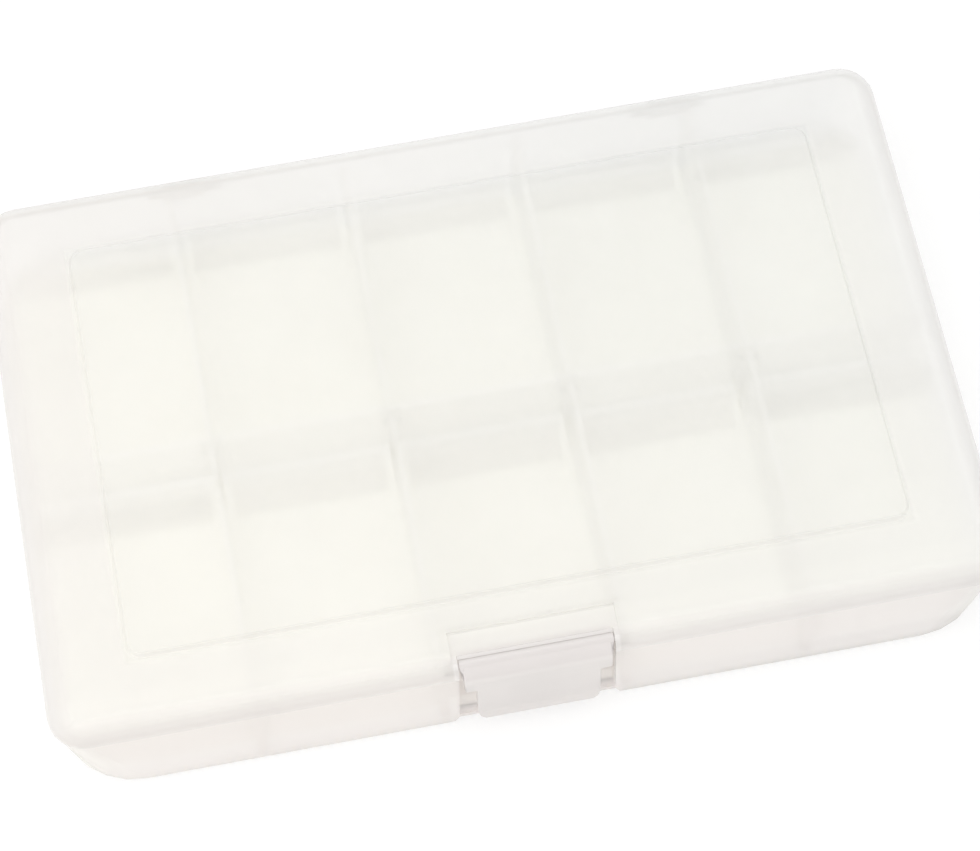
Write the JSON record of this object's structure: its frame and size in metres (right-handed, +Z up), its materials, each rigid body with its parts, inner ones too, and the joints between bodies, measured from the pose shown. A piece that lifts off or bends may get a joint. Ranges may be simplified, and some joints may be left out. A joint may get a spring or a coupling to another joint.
{
  "type": "compartment organizer box",
  "caption": "Shallow frosted plastic organizer case with a hinged lid, a front latch flap, a fixed centre wall and removable cross dividers.",
  "frame": {"origin": "middle of the closed box's bounding box, on the table", "axes": "+X along the long side, -Y towards the latch flap, +Z up through the lid"},
  "size_m": [0.175, 0.115, 0.0268],
  "materials": {
    "tray": "frosted translucent polypropylene",
    "lid": "frosted translucent polypropylene, satin",
    "flap": "frosted translucent polypropylene, satin",
    "divider": "frosted translucent polypropylene"
  },
  "bodies": {
    "tray": {"base_tray": "tray", "divider_front_1": "divider", "divider_front_2": "divider", "divider_front_3": "divider", "divider_front_4": "divider", "divider_back_1": "divider", "divider_back_2": "divider", "divider_back_3": "divider", "divider_back_4": "divider"},
    "lid": {"lid": "lid"},
    "flap": {"latch_flap": "flap"}
  },
  "joints": [
    {"name": "lid_hinge", "type": "hinge", "parent": "tray", "child": "lid", "pos_m": [0, 0.05615, 0.0187], "axis": [-1, 0, 0], "range_deg": [0, 180]},
    {"name": "latch_hinge", "type": "hinge", "parent": "lid", "child": "flap", "pos_m": [0, -0.0539, 0.0238], "axis": [-1, 0, 0], "range_deg": [0, 100]}
  ]
}
